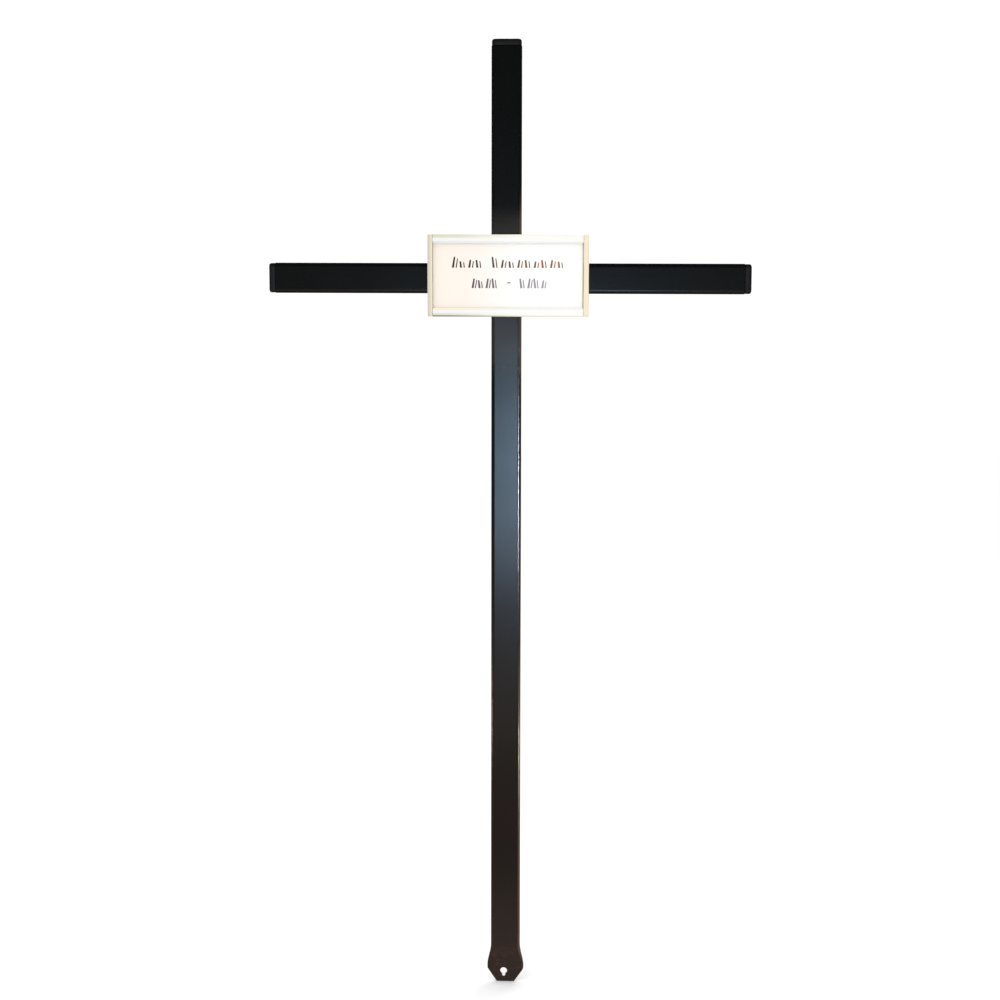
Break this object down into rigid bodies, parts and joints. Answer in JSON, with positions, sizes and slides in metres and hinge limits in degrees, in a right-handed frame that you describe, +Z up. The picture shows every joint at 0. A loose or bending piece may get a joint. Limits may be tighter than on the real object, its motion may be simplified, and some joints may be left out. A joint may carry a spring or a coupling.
{
  "type": "metal grave cross",
  "caption": "Slim grave cross of black coated flat steel tube, with a pressed blade foot and a small pale sign holder over the crossing.",
  "frame": {"origin": "middle of the flat tip at the foot of the pressed blade", "axes": "+Z up along the post, +X to the right as the front is seen, and the front with the sign holder faces -Y"},
  "size_m": [0.48, 0.0192, 0.96],
  "materials": {
    "black_coat": "satin",
    "black_plastic": "satin",
    "pale_profile": "satin",
    "cream_plastic": "satin",
    "insert_plate": "satin"
  },
  "bodies": {
    "root": {"post": "black_coat", "left_arm": "black_coat", "right_arm": "black_coat", "top_end_cap": "black_plastic", "left_end_cap": "black_plastic", "right_end_cap": "black_plastic", "sign_holder": "pale_profile", "holder_left_end": "cream_plastic", "holder_right_end": "cream_plastic", "name_insert": "insert_plate"}
  },
  "joints": []
}
